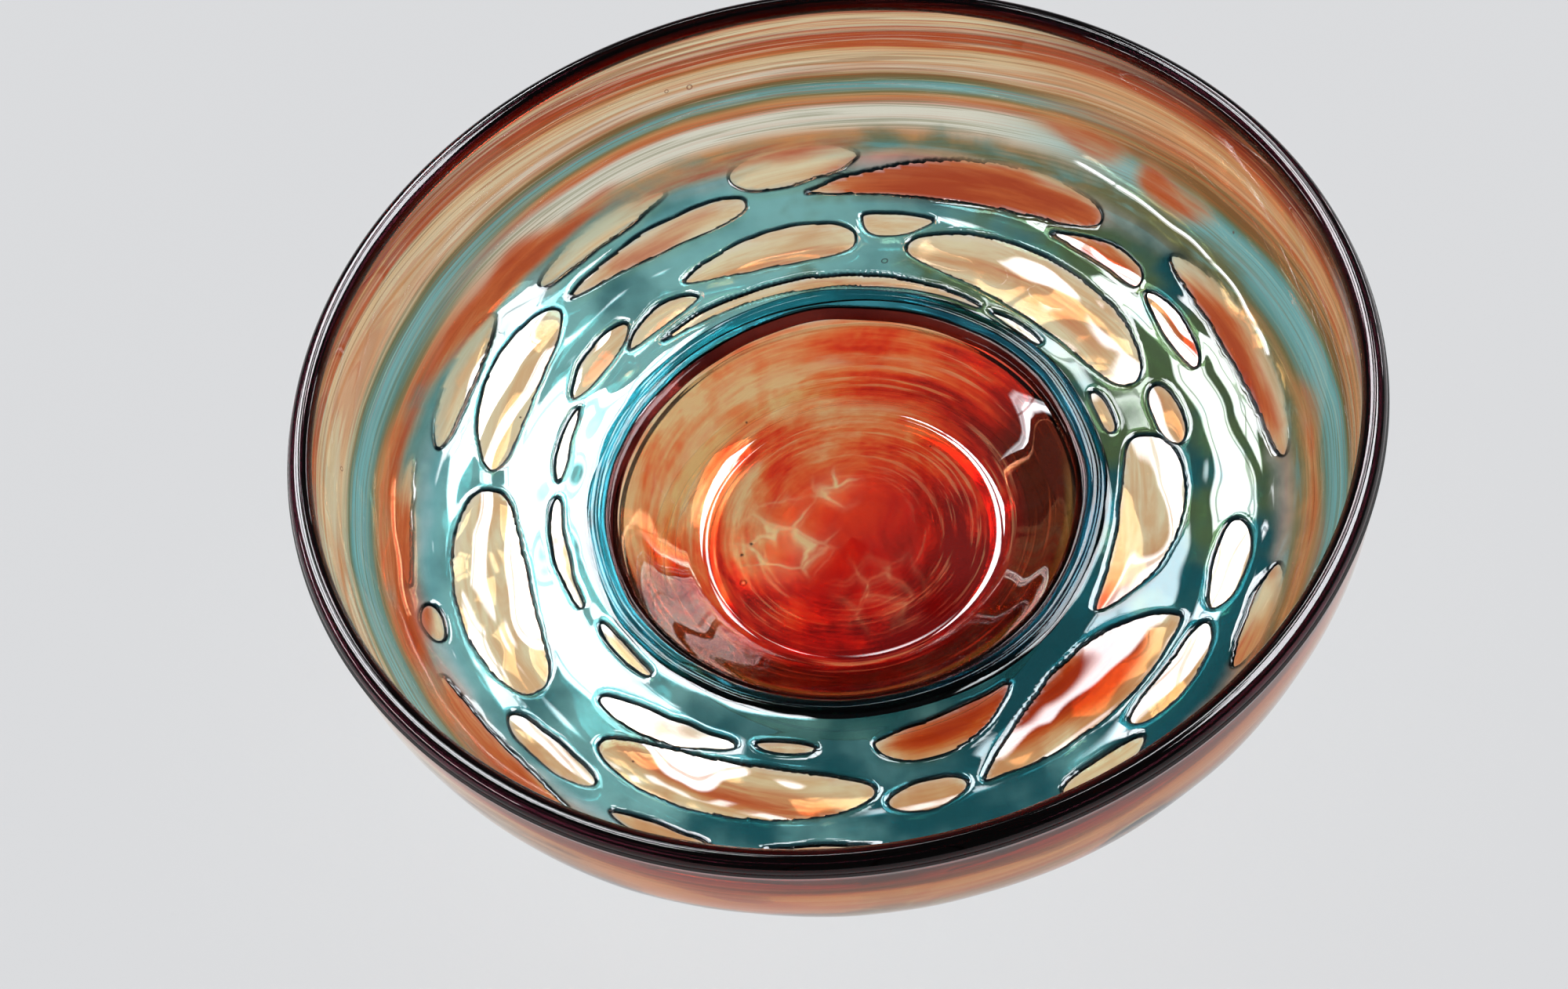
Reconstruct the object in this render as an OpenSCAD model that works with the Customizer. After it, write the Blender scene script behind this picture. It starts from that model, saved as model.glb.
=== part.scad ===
// Blown art glass bowl: a clear gather cased in coloured wraps, with a raised teal web inside,
// a thick ring and a dark thread round the central well, a dark lip and a solid foot.
// Origin: centre of the foot's underside. +Z is up. Sizes are in millimetres.

/* [Bowl] */
// Outer radius of the wall at its widest
bowl_r = 115; // [112:1:120]
// Height of the lip's centre above the table
lip_z = 75.5; // [74:0.5:78]
// Radius of the lip's round bead
lip_bead_r = 2.5; // [2.3:0.1:3]
// Thickness of the clear inner gather
gather_t = 2.4; // [2:0.1:2.8]
// Thickness of the coloured wraps over the gather
wrap_t = 1.4; // [1:0.1:1.8]

/* [Web and well] */
// How far the web stands out of the wall, towards the inside
web_rise = 1; // [0.8:0.1:1.8]
// How far the ring round the well stands out of the wall
ring_rise = 2.2; // [1.8:0.2:3.4]
// How far the dark thread inside the ring stands out of the wall
thread_rise = 0.8; // [0.6:0.1:1.6]
// Thickness of the coloured pad under the well
pad_t = 3; // [2:0.5:3.5]

/* [Foot] */
// Outer radius of the foot where it rests
foot_r = 38; // [36:0.5:40]
// Radius of the ground hollow in the foot's underside
hollow_r = 24; // [18:1:28]
// Depth of the ground hollow
hollow_depth = 1; // [0.5:0.25:2]

/* [Hidden] */
$fn = 96;

// Guide points of the inside surface, radius and height, from the well's centre up to the lip
wall_r = bowl_r - gather_t - wrap_t;
GUIDE = [
    [0, 15], [20, 15.1], [33, 15.8], [41, 18.3], [47, 23], [51.4, 28.2], [54, 30.8], [58.5, 31.6], [66, 31],
    [76, 30.6], [84, 31.3], [92, 33.6], [98, 37.2], [103, 42], [107, 48.5],
    [wall_r - 1.5, 55.5], [wall_r - 0.2, 64], [wall_r, lip_z - 1.5]
];
steps = 4;
LAST = (len(GUIDE) - 1) * steps;

// Steps along the guide at which the sub-parts begin and end
PAD_END = 4 * steps;
THREAD_START = 5 * steps;
RING_START = 6 * steps;
WEB_START = 7 * steps;
WRAP_START = 11 * steps;
WEB_END = 13 * steps;

// Catmull-Rom curve through the guide points, at step i
function guide(k) = k < 0 ? [-GUIDE[1][0], GUIDE[1][1]]
    : k >= len(GUIDE) ? 2 * GUIDE[len(GUIDE) - 1] - GUIDE[len(GUIDE) - 2]
    : GUIDE[k];
function curve(a, b, c, d, t) = 0.5 * (2 * b + (c - a) * t
    + (2 * a - 5 * b + 4 * c - d) * t * t + (3 * b - a - 3 * c + d) * t * t * t);
function inner(i) = let (k = min(floor(i / steps), len(GUIDE) - 2))
    curve(guide(k - 1), guide(k), guide(k + 1), guide(k + 2), i / steps - k);
function along(i) = let (d = inner(min(i + 1, LAST)) - inner(max(i - 1, 0))) d / norm(d);
// The inside surface at step i, moved depth into the glass, or out of it when depth is negative
function skin(i, depth) = let (s = along(i), p = inner(i) + depth * [s[1], -s[0]])
    i == 0 ? [0, p[1]] : p;

// A sheet of glass between two depths, from step first to step last
module sheet(first, last, top, bottom) {
    polygon(concat(
        [for (i = [first : last]) skin(i, top)],
        [for (i = [last : -1 : first]) skin(i, bottom)]
    ));
}

// A round-backed bead on the inside surface, from step first to step last
module bead(first, last, rise) {
    mid = (first + last) / 2;
    half = (last - first) / 2;
    polygon(concat(
        [for (i = [first : last]) skin(i, -rise * sqrt(1 - pow((i - mid) / half, 2)))],
        [for (i = [last - 1 : -1 : first + 1]) skin(i, 0)]
    ));
}

module lip_circle() {
    translate([bowl_r - lip_bead_r, lip_z]) circle(lip_bead_r);
}

module gather() {
    color("navajowhite", 0.5)
        rotate_extrude()
            difference() {
                sheet(0, LAST, 0, gather_t);
                lip_circle();
            }
}

// One colour wrap over the gather, from step first to step last
module wrap(first, last) {
    rotate_extrude()
        difference() {
            sheet(WRAP_START + first, WRAP_START + last, gather_t, gather_t + wrap_t);
            lip_circle();
        }
}

module teal_wrap() { color("teal") wrap(0, 3); }
module straw_wrap() { color("khaki") wrap(3, 5); }
module rust_wrap() { color("orangered") wrap(5, 7); }
module olive_wrap() { color("darkolivegreen") wrap(7, 9); }
module cream_wrap() { color("wheat") wrap(9, 10); }
module sky_wrap() { color("cadetblue") wrap(10, 12); }
module sand_wrap() { color("burlywood") wrap(12, 14); }
module moss_wrap() { color("olivedrab") wrap(14, 15); }
module amber_wrap() { color("sandybrown") wrap(15, 18); }
module orange_wrap() { color("chocolate") wrap(18, 20); }
module pearl_wrap() { color("bisque") wrap(20, 22); }
module oxblood_wrap() { color("maroon") wrap(22, 24); }

module honey_underlay() {
    color("goldenrod", 0.6)
        rotate_extrude() sheet(PAD_END, WRAP_START, gather_t, gather_t + wrap_t);
}

module lip_wrap() {
    color([0.14, 0.03, 0.07]) rotate_extrude() lip_circle();
}

module shoulder_ring() {
    color("darkcyan") rotate_extrude() bead(RING_START, WEB_START, ring_rise);
}

module edge_thread() {
    color("darkred") rotate_extrude() bead(THREAD_START, RING_START, thread_rise);
}

// The pad is thickest in the middle and thins to the wraps' thickness at its edge
function pad_skin(i) = skin(i, gather_t + wrap_t + (pad_t - wrap_t) * (1 - pow(i / PAD_END, 2)));

module well_pad() {
    color("orangered")
        rotate_extrude()
            polygon(concat(
                [for (i = [0 : PAD_END]) skin(i, gather_t)],
                [for (i = [PAD_END : -1 : 0]) pad_skin(i)]
            ));
}

module foot() {
    top_end = 15;
    edge_round = 1.2;
    waist = [foot_r - edge_round, 2.6 * edge_round];
    color("moccasin", 0.6)
        rotate_extrude()
            polygon(concat(
                [[0, hollow_depth], [hollow_r - 2 * hollow_depth, hollow_depth], [hollow_r, 0], [foot_r, 0]],
                [[foot_r + edge_round / 2, edge_round / 2], [foot_r + edge_round / 3, 1.5 * edge_round]],
                [waist, [waist[0] + 0.5, 2 * waist[1]], [waist[0] + 3, 3 * waist[1]]],
                [for (i = [top_end : -1 : 0]) pad_skin(i)]
            ));
}

// The windows of the web, seen from above. Each is a lens along a line from one place to another:
// [angle and radius at the start, angle and radius at the end, width outwards, width inwards,
//  sharpness of the start, sharpness of the end], where 0.5 is round and 1 is pointed
WINDOWS = [
    // against the ring
    [122, 64.3, 47, 60.6, 2.2, 1.4, 0.7, 0.8], [44, 60.6, 30, 60.6, 0.8, 0.7, 0.8, 0.8],
    [145, 69.5, 163, 67, 1.2, 1.2, 0.7, 0.7], [167, 66.6, 194, 64.7, 1.5, 1.3, 0.6, 0.7],
    [200, 62.6, 216, 62.2, 1.2, 1.2, 0.8, 0.8], [243, 66.2, 254, 65.6, 1.1, 1.1, 0.7, 0.7],
    [12, 62.3, 1, 62.3, 1.5, 1.3, 0.6, 0.5], [-67, 62.5, -95, 65, 6.5, 1.4, 0.9, 0.6],
    // the middle row
    [110, 77, 77.5, 76.7, 5.6, 5.6, 0.7, 0.35], [76, 83.4, 64, 83.2, 0.8, 5.6, 0.45, 0.8],
    [67, 74.3, 11, 71.3, 9, 7.8, 0.45, 0.45], [8.5, 76.3, -4, 76.3, 2.6, 3.4, 0.45, 0.5],
    [-1.5, 68, -43, 64.6, 9, 4.4, 0.4, 0.8], [-38, 81, -79, 79.6, 1.4, 13.6, 0.6, 0.85],
    [-82, 78.6, -94, 79, 3.2, 3.2, 0.5, 0.5], [264, 75.6, 219, 80.4, 6, 6.4, 0.5, 0.45],
    [213, 73, 239, 67.8, 2.6, 2.8, 0.6, 0.8], [205, 83, 165, 83, 7.4, 8.6, 0.4, 0.4],
    [161, 83.6, 130, 90.5, 6, 5.4, 0.6, 0.6], [143, 72, 124, 75.7, 3.2, 3.6, 0.8, 0.6],
    [128, 69, 110, 70.8, 4.2, 1.2, 0.8, 0.6],
    // the outer row
    [96, 97.7, 77, 98.4, 3, 4.4, 0.5, 0.7], [85, 91, 38.5, 95.5, 5.2, 4, 0.9, 0.5],
    [44, 88.4, 27, 88.4, 4.2, 0.8, 1, 0.45], [25, 88.6, 9, 86.4, 2.4, 2.2, 0.6, 0.6],
    [26, 97.7, -11, 97.7, 2.8, 3.6, 0.6, 0.6], [-20, 87.6, -35.5, 87, 3.8, 3, 0.5, 0.6],
    [-28, 97.6, -44, 97.6, 2.6, 2.6, 0.6, 0.6], [-38, 87, -57, 87, 3.8, 2.4, 0.6, 0.5],
    [-58, 91.3, -71, 91, 3, 2.6, 0.6, 0.5], [-62, 98.35, -88, 98.35, 1.6, 1.6, 0.7, 0.7],
    [262, 97.6, 236, 98.35, 2, 2, 0.7, 0.7], [264, 89.6, 249, 91, 1.8, 1.6, 0.8, 0.8],
    [242, 92.6, 228, 93, 2, 1.8, 0.8, 0.8], [224, 98.35, 198, 99, 1.7, 2, 0.7, 0.7],
    [223, 89.4, 207, 90.5, 3, 3, 0.5, 0.5], [192, 96.4, 186, 96.3, 1.9, 1.9, 0.5, 0.5],
    [183, 99.6, 163, 100.3, 1.2, 1.2, 0.7, 0.7], [160, 96.3, 137, 99.6, 2.2, 2.6, 0.6, 0.6],
    [129, 97.2, 105.5, 99.6, 2, 2, 0.6, 0.7], [127, 91, 95, 91.8, 2.6, 3.8, 0.9, 0.4]
];
window_points = 8;

function polar(a, r) = r * [cos(a), sin(a)];
// How wide window w is at t along its line, as a share of its full width
function swell(w, t) = let (peak = w[6] / (w[6] + w[7]))
    t <= 0 || t >= 1 ? 0
    : pow(t / peak, w[6]) * pow((1 - t) / (1 - peak), w[7]);
function window_point(w, t, width) =
    polar(w[0] + (w[2] - w[0]) * t, w[1] + (w[3] - w[1]) * t + width * swell(w, t));
function window_outline(w) = concat(
    [for (j = [0 : window_points]) window_point(w, (1 - cos(180 * j / window_points)) / 2, w[4])],
    [for (j = [window_points - 1 : -1 : 1]) window_point(w, (1 - cos(180 * j / window_points)) / 2, -w[5])]
);

module web() {
    color("cadetblue")
        difference() {
            rotate_extrude() sheet(WEB_START, WEB_END, -web_rise, 0);
            for (w = WINDOWS)
                translate([0, 0, GUIDE[9][1] - 2 * web_rise])
                    linear_extrude(lip_z)
                        polygon(window_outline(w));
        }
}

gather();
honey_underlay();
well_pad();
foot();
lip_wrap();
web();
shoulder_ring();
edge_thread();
teal_wrap();
straw_wrap();
rust_wrap();
olive_wrap();
cream_wrap();
sky_wrap();
sand_wrap();
moss_wrap();
amber_wrap();
orange_wrap();
pearl_wrap();
oxblood_wrap();
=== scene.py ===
"""Looks of the art glass bowl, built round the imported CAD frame.

One clear wall shell carries the colour trails. The web, the ring, the thread, the lip, the pad and
the foot are pieces of glass on it. All lengths are in millimetres until new_piece() makes a mesh.
"""

import math
from collections import namedtuple

import bmesh
import bpy
import numpy as np
from mathutils import Matrix, Vector, noise


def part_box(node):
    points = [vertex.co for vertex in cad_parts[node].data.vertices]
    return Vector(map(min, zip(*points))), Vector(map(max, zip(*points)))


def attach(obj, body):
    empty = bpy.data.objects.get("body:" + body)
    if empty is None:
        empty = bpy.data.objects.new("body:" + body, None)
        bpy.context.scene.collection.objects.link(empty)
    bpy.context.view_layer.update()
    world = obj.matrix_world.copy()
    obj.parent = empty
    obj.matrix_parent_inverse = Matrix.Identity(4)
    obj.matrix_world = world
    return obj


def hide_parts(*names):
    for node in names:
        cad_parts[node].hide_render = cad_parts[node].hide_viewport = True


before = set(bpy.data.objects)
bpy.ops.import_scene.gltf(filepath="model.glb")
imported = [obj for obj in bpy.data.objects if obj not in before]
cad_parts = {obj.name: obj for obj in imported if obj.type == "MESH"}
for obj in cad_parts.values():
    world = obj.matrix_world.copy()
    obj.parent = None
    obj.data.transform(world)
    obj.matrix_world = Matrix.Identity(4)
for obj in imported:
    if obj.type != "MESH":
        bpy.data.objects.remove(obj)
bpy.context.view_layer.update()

MM = 0.001

# ------------------------------------------------------------------ sizes from the frame


def top_mm(node):
    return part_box(node)[1].z / MM


def radius_mm(node):
    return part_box(node)[1].x / MM


BOWL_R = radius_mm("lip_wrap")
LIP_BEAD_R = (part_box("lip_wrap")[1].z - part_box("lip_wrap")[0].z) / MM / 2
LIP_Z = top_mm("lip_wrap") - LIP_BEAD_R
WEB_OUT_R = radius_mm("web")
FOOT_R = radius_mm("foot")
RING_OUT_R = radius_mm("shoulder_ring")
RING_IN_R = radius_mm("edge_thread")
GLASS_T = 3.8
WALL_R = BOWL_R - GLASS_T
PAD_SWELL = 1.6
PAD_OUT_R = 52

# Guide of the inside surface, radius and height, from the well's centre up to the lip
GUIDE = [
    (0, 15), (20, 15), (33.8, 15.04), (35.6, 15.35), (37.2, 16.3), (45.5, 23.2), (51, 28.4), (54, 30.8),
    (58.5, 31.6), (66, 31), (76, 30.6), (84, 31.3), (92, 33.6), (98, 37.2), (103, 42), (107, 48.5),
    (WALL_R - 1.5, 55.5), (WALL_R - 0.2, 64), (WALL_R, LIP_Z - 1.5), (WALL_R + 0.6, LIP_Z + 0.6),
]


def catmull_rom(points, steps):
    """Points on the smooth curve through the given ones, with steps points to each stretch."""
    p = np.array(points, float)
    first = 2 * p[0] - p[1]
    if abs(p[0][0]) < 1e-9:
        first = p[1] * (-1, 1)
    p = np.vstack([first, p, 2 * p[-1] - p[-2]])
    out = []
    for k in range(1, len(p) - 2):
        a, b, c, d = p[k - 1 : k + 3]
        slope = c - a
        bend = 2 * a - 5 * b + 4 * c - d
        twist = 3 * b - a - 3 * c + d
        for t in np.arange(steps) / steps:
            out.append(0.5 * (2 * b + slope * t + bend * t**2 + twist * t**3))
    out.append(p[-2])
    return np.array(out)


def normals_of(path):
    """Unit normals of a profile, pointing into the bowl."""
    along = np.gradient(path, axis=0)
    along /= np.linalg.norm(along, axis=1)[:, None]
    return np.column_stack([-along[:, 1], along[:, 0]])


PROFILE = catmull_rom(GUIDE, 24)
PROFILE_N = normals_of(PROFILE)
RUN = np.r_[0, np.cumsum(np.linalg.norm(np.diff(PROFILE, axis=0), axis=1))]
RUN_END = RUN[-1]


def run_at_radius(r):
    """Distance along the profile, from the well's centre, at which the wall has radius r."""
    return float(np.interp(r, PROFILE[:, 0], RUN))


def normals_at(run):
    """Normals of the profile at distances along it."""
    return np.column_stack([np.interp(run, RUN, PROFILE_N[:, k]) for k in (0, 1)])


def on_profile(run, depth):
    """Radius and height at a distance along the profile, moved depth into the glass."""
    place = np.column_stack([np.interp(run, RUN, PROFILE[:, k]) for k in (0, 1)])
    normal = normals_at(run)
    normal /= np.linalg.norm(normal, axis=1)[:, None]
    out = place - normal * np.asarray(depth, float).reshape(-1, 1)
    out[:, 0] = np.maximum(out[:, 0], 0)
    return out


def places(angle, run):
    """x, y and z on the inside surface at an angle in radians and a distance along the profile."""
    r, z = on_profile(run, 0).T
    return r * np.cos(angle), r * np.sin(angle), z


# ------------------------------------------------------------------ waves of the hand-blown surface

LONG_WAVE, LONG_WAVE_DEPTH = 30, 0.46
SHORT_WAVE, SHORT_WAVE_DEPTH = 13, 0.17
# The waves are calm in the well, grow over the flat part and fade out below the lip
WELL_SHARE, WELL_END, GROWTH = 0.12, 40, 24
LIP_FADE = 12
# Seeds of the noise: the inside and the outside surface have waves of their own
INSIDE_SEED, OUTSIDE_SEED = 1, 4


def waves(x, y, z, size, seed):
    """Smooth noise from about -1 to 1 at points in millimetres."""
    offset = Vector((seed * 17.3, seed * 5.1, seed * 9.7))
    return np.array([noise.noise(Vector(p) / size + offset) for p in zip(x, y, z)])


def wave_depth(angle, run, seed):
    """How far the hand-blown surface lies off the lathe-turned one."""
    x, y, z = places(angle, run)
    growth = np.clip((run - WELL_END) / GROWTH, WELL_SHARE, 1)
    fade = np.clip((RUN_END - LIP_FADE - run) / LIP_FADE, 0, 1) * growth
    # the left and right sides wave more than the near and far ones
    sideways = 0.75 + 0.75 * np.cos(angle) ** 2
    long_waves = LONG_WAVE_DEPTH * waves(x, y, z, LONG_WAVE, seed)
    short_waves = SHORT_WAVE_DEPTH * waves(x, y, z, SHORT_WAVE, seed + 1)
    return fade * sideways * (long_waves + short_waves)


def ring_wobble(angle):
    """How far the ring and the thread stray outwards round the well."""
    c, s = np.cos(angle), np.sin(angle)
    return 1.3 * waves(c, s, 0 * c, 0.55, 11) + 0.5 * waves(c, s, 0 * c, 0.25, 12)


# ------------------------------------------------------------------ meshes


def add_values(mesh, values):
    """Gives each point of a mesh numbers that its material reads by name."""
    for key, numbers in values.items():
        attribute = mesh.attributes.new(key, "FLOAT", "POINT")
        attribute.data.foreach_set("value", np.asarray(numbers, np.float32))


def new_piece(name, verts_mm, faces, values):
    """A smooth mesh object with outward normals, from points in millimetres."""
    mesh = bpy.data.meshes.new(name)
    mesh.from_pydata((np.asarray(verts_mm, float) * MM).tolist(), [], faces)
    add_values(mesh, values)
    bm = bmesh.new()
    bm.from_mesh(mesh)
    bmesh.ops.recalc_face_normals(bm, faces=bm.faces)
    bm.to_mesh(mesh)
    bm.free()
    mesh.shade_smooth()
    piece = bpy.data.objects.new(name, mesh)
    bpy.context.scene.collection.objects.link(piece)
    return piece


def turned(outline, segments, shape):
    """An outline's points turned round the axis, one copy after another.

    shape(angle, outline), if given, returns the outline as it is at that angle.
    """
    copies = []
    for angle in np.linspace(0, 2 * np.pi, segments, endpoint=False):
        r, z = (shape(angle, outline) if shape else outline).T
        copies.append(np.column_stack([r * np.cos(angle), r * np.sin(angle), z]))
    return np.vstack(copies)


def faces_between(segments, rows, closed):
    """The faces between neighbouring copies of an outline that has rows points."""
    faces = []
    for i in range(segments):
        a, b = i * rows, (i + 1) % segments * rows
        for k in range(rows if closed else rows - 1):
            after = (k + 1) % rows
            faces.append((a + k, b + k, b + after, a + after))
    return faces


def lathe(name, loop, segments, values=None, shape=None):
    """Turns a closed outline round the axis."""
    verts = turned(loop, segments, shape)
    faces = faces_between(segments, len(loop), closed=True)
    return new_piece(name, verts, faces, {key: np.tile(v, segments) for key, v in (values or {}).items()})


def lathe_solid(name, path, segments, values=None, shape=None):
    """Turns an outline that starts and ends on the axis, with one point at each pole."""
    rows = len(path) - 2
    verts = turned(path[1:-1], segments, shape)
    start, end = len(verts), len(verts) + 1
    verts = np.vstack([verts, (0, 0, path[0, 1]), (0, 0, path[-1, 1])])
    faces = faces_between(segments, rows, closed=False)
    for i in range(segments):
        a, b = i * rows, (i + 1) % segments * rows
        faces += [(start, b, a), (end, a + rows - 1, b + rows - 1)]
    tiled = {key: np.r_[np.tile(v[1:-1], segments), v[0], v[-1]] for key, v in (values or {}).items()}
    return new_piece(name, verts, faces, tiled)


# ------------------------------------------------------------------ the web's windows

# Each window is a lens along a line from one place to another, seen from above:
# angle and radius at the start, angle and radius at the end, width outwards, width inwards,
# sharpness of the start and of the end (0.5 is round, 1 is pointed)
Window = namedtuple("Window", "from_angle from_r to_angle to_r outward inward from_sharp to_sharp")
WINDOW_SIZES = [
    # against the ring
    (122, 64.3, 47, 60.6, 2.2, 1.4, 0.7, 0.8), (44, 60.6, 30, 60.6, 0.8, 0.7, 0.8, 0.8),
    (145, 69.5, 163, 67, 1.2, 1.2, 0.7, 0.7), (167, 66.6, 194, 64.7, 1.5, 1.3, 0.6, 0.7),
    (200, 62.6, 216, 62.2, 1.2, 1.2, 0.8, 0.8), (243, 66.2, 254, 65.6, 1.1, 1.1, 0.7, 0.7),
    (12, 62.3, 1, 62.3, 1.5, 1.3, 0.6, 0.5), (-67, 62.5, -95, 65, 6.5, 1.4, 0.9, 0.6),
    # the middle row
    (110, 77, 77.5, 76.7, 5.6, 5.6, 0.7, 0.35), (76, 83.4, 64, 83.2, 0.8, 5.6, 0.45, 0.8),
    (67, 74.3, 11, 71.3, 9, 7.8, 0.45, 0.45), (8.5, 76.3, -4, 76.3, 2.6, 3.4, 0.45, 0.5),
    (-1.5, 68, -43, 64.6, 9, 4.4, 0.4, 0.8), (-38, 81, -79, 79.6, 1.4, 13.6, 0.6, 0.85),
    (-82, 78.6, -94, 79, 3.2, 3.2, 0.5, 0.5), (264, 75.6, 219, 80.4, 6, 6.4, 0.5, 0.45),
    (213, 73, 239, 67.8, 2.6, 2.8, 0.6, 0.8), (205, 83, 165, 83, 7.4, 8.6, 0.4, 0.4),
    (161, 83.6, 130, 90.5, 6, 5.4, 0.6, 0.6), (143, 72, 124, 75.7, 3.2, 3.6, 0.8, 0.6),
    (128, 69, 110, 70.8, 4.2, 1.2, 0.8, 0.6),
    # the outer row
    (96, 97.7, 77, 98.4, 3, 4.4, 0.5, 0.7), (85, 91, 38.5, 95.5, 5.2, 4, 0.9, 0.5),
    (44, 88.4, 27, 88.4, 4.2, 0.8, 1, 0.45), (25, 88.6, 9, 86.4, 2.4, 2.2, 0.6, 0.6),
    (26, 97.7, -11, 97.7, 2.8, 3.6, 0.6, 0.6), (-20, 87.6, -35.5, 87, 3.8, 3, 0.5, 0.6),
    (-28, 97.6, -44, 97.6, 2.6, 2.6, 0.6, 0.6), (-38, 87, -57, 87, 3.8, 2.4, 0.6, 0.5),
    (-58, 91.3, -71, 91, 3, 2.6, 0.6, 0.5), (-62, 98.35, -88, 98.35, 1.6, 1.6, 0.7, 0.7),
    (262, 97.6, 236, 98.35, 2, 2, 0.7, 0.7), (264, 89.6, 249, 91, 1.8, 1.6, 0.8, 0.8),
    (242, 92.6, 228, 93, 2, 1.8, 0.8, 0.8), (224, 98.35, 198, 99, 1.7, 2, 0.7, 0.7),
    (223, 89.4, 207, 90.5, 3, 3, 0.5, 0.5), (192, 96.4, 186, 96.3, 1.9, 1.9, 0.5, 0.5),
    (183, 99.6, 163, 100.3, 1.2, 1.2, 0.7, 0.7), (160, 96.3, 137, 99.6, 2.2, 2.6, 0.6, 0.6),
    (129, 97.2, 105.5, 99.6, 2, 2, 0.6, 0.7), (127, 91, 95, 91.8, 2.6, 3.8, 0.9, 0.4),
]
WINDOWS = [Window(*numbers) for numbers in WINDOW_SIZES]


def window_widths(window, share):
    """Outward and inward width of a window at shares of its length."""
    start, end = window.from_sharp, window.to_sharp
    peak = start / (start + end)
    inside = np.clip(share, 0, 1)
    swell = (inside / peak) ** start * ((1 - inside) / (1 - peak)) ** end
    return window.outward * swell, window.inward * swell


def window_outline(window, points=90):
    """x and y of points round a window, closest together at its ends."""
    share = (1 - np.cos(np.linspace(0, np.pi, points))) / 2
    outward, inward = window_widths(window, share)
    angle = np.radians(window.from_angle + (window.to_angle - window.from_angle) * share)
    line = window.from_r + (window.to_r - window.from_r) * share
    r = np.r_[line + outward, line - inward]
    angle = np.r_[angle, angle]
    return np.column_stack([r * np.cos(angle), r * np.sin(angle)])


def inside_window(window, angle, r):
    """Which places, given by angle in degrees and radius, lie in the window."""
    span = window.to_angle - window.from_angle
    share = ((angle - window.from_angle + 180) % 360 - 180) / span
    share = np.where(share < -180 / abs(span), share + 360 / abs(span), share)
    outward, inward = window_widths(window, share)
    across = r - (window.from_r + (window.to_r - window.from_r) * share)
    return (share > 0) & (share < 1) & (across < outward) & (across > -inward)


FAR_AWAY = 50
WINDOW_REACH = 9


def distance_to_windows(x, y):
    """Distance to the nearest window's edge, at most FAR_AWAY, and negative inside a window."""
    near = np.full(len(x), float(FAR_AWAY))
    inside = np.zeros(len(x), bool)
    angle, r = np.degrees(np.arctan2(y, x)), np.hypot(x, y)
    for window in WINDOWS:
        outline = window_outline(window)
        low, high = outline.min(0) - WINDOW_REACH, outline.max(0) + WINDOW_REACH
        close = (x > low[0]) & (x < high[0]) & (y > low[1]) & (y < high[1])
        dx = x[close, None] - outline[None, :, 0]
        dy = y[close, None] - outline[None, :, 1]
        near[close] = np.minimum(near[close], np.sqrt((dx**2 + dy**2).min(axis=1)))
        inside |= inside_window(window, angle, r)
    return np.where(inside, -near, near)


# ------------------------------------------------------------------ pieces

WALL_SEGMENTS, BEAD_SEGMENTS, WEB_SEGMENTS, WELL_SEGMENTS = 440, 400, 720, 240
WEB_ROWS = 76
# How deep the pieces are sunk into each other, so that no gap shows between them
BEAD_SUNK, WEB_SUNK, PAD_SUNK, FOOT_SUNK = 0.5, 0.35, 0.3, 0.25

# Soft amber and orange-red patches in the wall: angle, distance along the profile, half-sizes
# in degrees and millimetres, and strength
PATCHES = [
    (61, 100, 23, 6.3, 1.1), (34, 95.3, 9, 3.6, 0.9), (8, 99, 19, 7, 0.9), (-18, 102, 10, 5.5, 0.5),
    (-8, 113, 9, 4.5, 0.4), (47, 119.5, 8, 4.2, 0.5), (30, 118, 6, 4, 0.6), (97, 109, 20, 3, 0.45),
    (134, 112, 20, 3.6, 0.75), (165, 113, 9, 4, 0.5), (180, 109, 16, 5, 0.7), (210, 106, 20, 7, 0.6),
    (240, 111, 14, 6, 0.6), (264, 104, 14, 6, 0.6), (290, 112, 14, 5, 0.7), (312, 105, 13, 6, 0.5),
    (333, 113, 12, 5, 0.4), (92, 65.5, 34, 4, 0.5), (91, 79, 15, 3.5, 0.4), (240, 84, 22, 4, 0.5),
    (-58, 75, 22, 9, 1.0), (-80, 70, 12, 5, 1.0), (38, 79, 26, 4, 0.4), (111, 97, 15, 3.5, 0.4),
]


def patch_strength(angle, run):
    """Strength of the amber patches at an angle in radians and a distance along the profile."""
    x, y, z = places(angle, run)
    turn_stray = 5 * waves(x, y, z, 24, 21)
    run_stray = 2.2 * waves(x, y, z, 15, 22)
    total = np.zeros(len(run))
    for middle, at, half_angle, half_run, strength in PATCHES:
        turn = (np.degrees(angle) + turn_stray - middle + 180) % 360 - 180
        reach = np.sqrt((turn / half_angle) ** 2 + ((run + run_stray - at) / half_run) ** 2)
        total = np.maximum(total, strength * np.clip((1.4 - reach) / 0.8, 0, 1))
    return total


# Where the wall is nearly clear because the web gives the colour, as distances along the profile
WEB_COLOR_START, WEB_COLOR_END = 55, 108


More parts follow.
